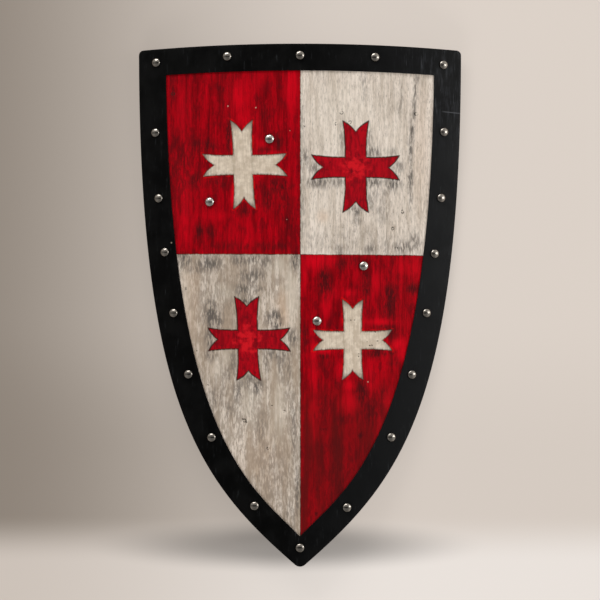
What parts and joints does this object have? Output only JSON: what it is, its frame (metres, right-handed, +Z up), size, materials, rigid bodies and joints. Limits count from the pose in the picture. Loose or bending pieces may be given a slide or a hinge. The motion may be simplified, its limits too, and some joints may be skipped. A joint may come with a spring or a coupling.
{
  "type": "heater shield",
  "caption": "Curved wooden heater shield with a quartered red and white field, a riveted blackened steel band and leather arm straps.",
  "frame": {"origin": "bottom centre of the box around the shield as it lies face up", "axes": "+Z up, out of the shield's face; +Y towards the top edge, with the point at -Y; +X to the right, seen from the front"},
  "size_m": [0.4698, 0.7494, 0.0687],
  "materials": {
    "painted_board": "brush-painted crimson and bone white over wood grain, worn and smudged; stained bare wood behind",
    "blackened_steel": "satin black with a cloudy patina",
    "polished_steel": "polished domes",
    "leather": "dark brown, waxed"
  },
  "bodies": {
    "root": {"board": "painted_board", "rim_band": "blackened_steel", "rim_rivet_01": "polished_steel", "rim_rivet_02": "polished_steel", "rim_rivet_03": "polished_steel", "rim_rivet_04": "polished_steel", "rim_rivet_05": "polished_steel", "rim_rivet_06": "polished_steel", "rim_rivet_07": "polished_steel", "rim_rivet_08": "polished_steel", "rim_rivet_09": "polished_steel", "rim_rivet_10": "polished_steel", "rim_rivet_11": "polished_steel", "rim_rivet_12": "polished_steel", "rim_rivet_13": "polished_steel", "rim_rivet_14": "polished_steel", "rim_rivet_15": "polished_steel", "rim_rivet_16": "polished_steel", "rim_rivet_17": "polished_steel", "rim_rivet_18": "polished_steel", "rim_rivet_19": "polished_steel", "rim_rivet_20": "polished_steel", "hand_strap_rivet_upper": "polished_steel", "hand_strap_rivet_lower": "polished_steel", "forearm_strap_rivet_upper": "polished_steel", "forearm_strap_rivet_lower": "polished_steel", "hand_strap": "leather", "forearm_strap": "leather"}
  },
  "joints": []
}
